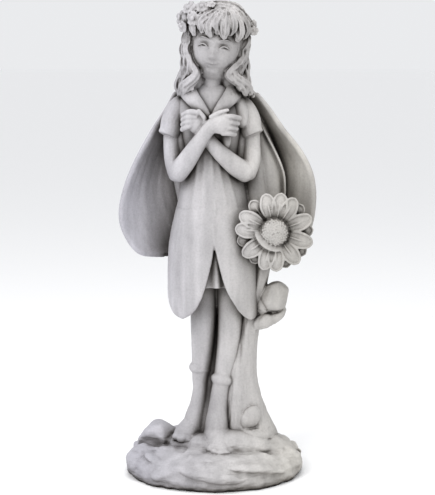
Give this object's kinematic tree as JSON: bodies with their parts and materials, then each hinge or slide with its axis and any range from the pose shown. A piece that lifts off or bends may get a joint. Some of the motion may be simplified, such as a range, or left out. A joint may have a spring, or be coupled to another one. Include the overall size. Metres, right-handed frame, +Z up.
{
  "type": "garden statue",
  "caption": "Cast-stone garden statue of a winged elf girl with crossed arms, standing on a rocky mound beside a stump that carries a sunflower.",
  "frame": {"origin": "centre of the mound's flat underside", "axes": "+Z up through the head, -Y the way the figure faces, +X to the figure's own left, the sunflower's side"},
  "size_m": [0.2427, 0.196, 0.599],
  "materials": {
    "cast_stone": "matte pale grey cast stone, rough on the mound, with dark patina in the hollows"
  },
  "bodies": {
    "root": {"elf_statue": "cast_stone"}
  },
  "joints": []
}
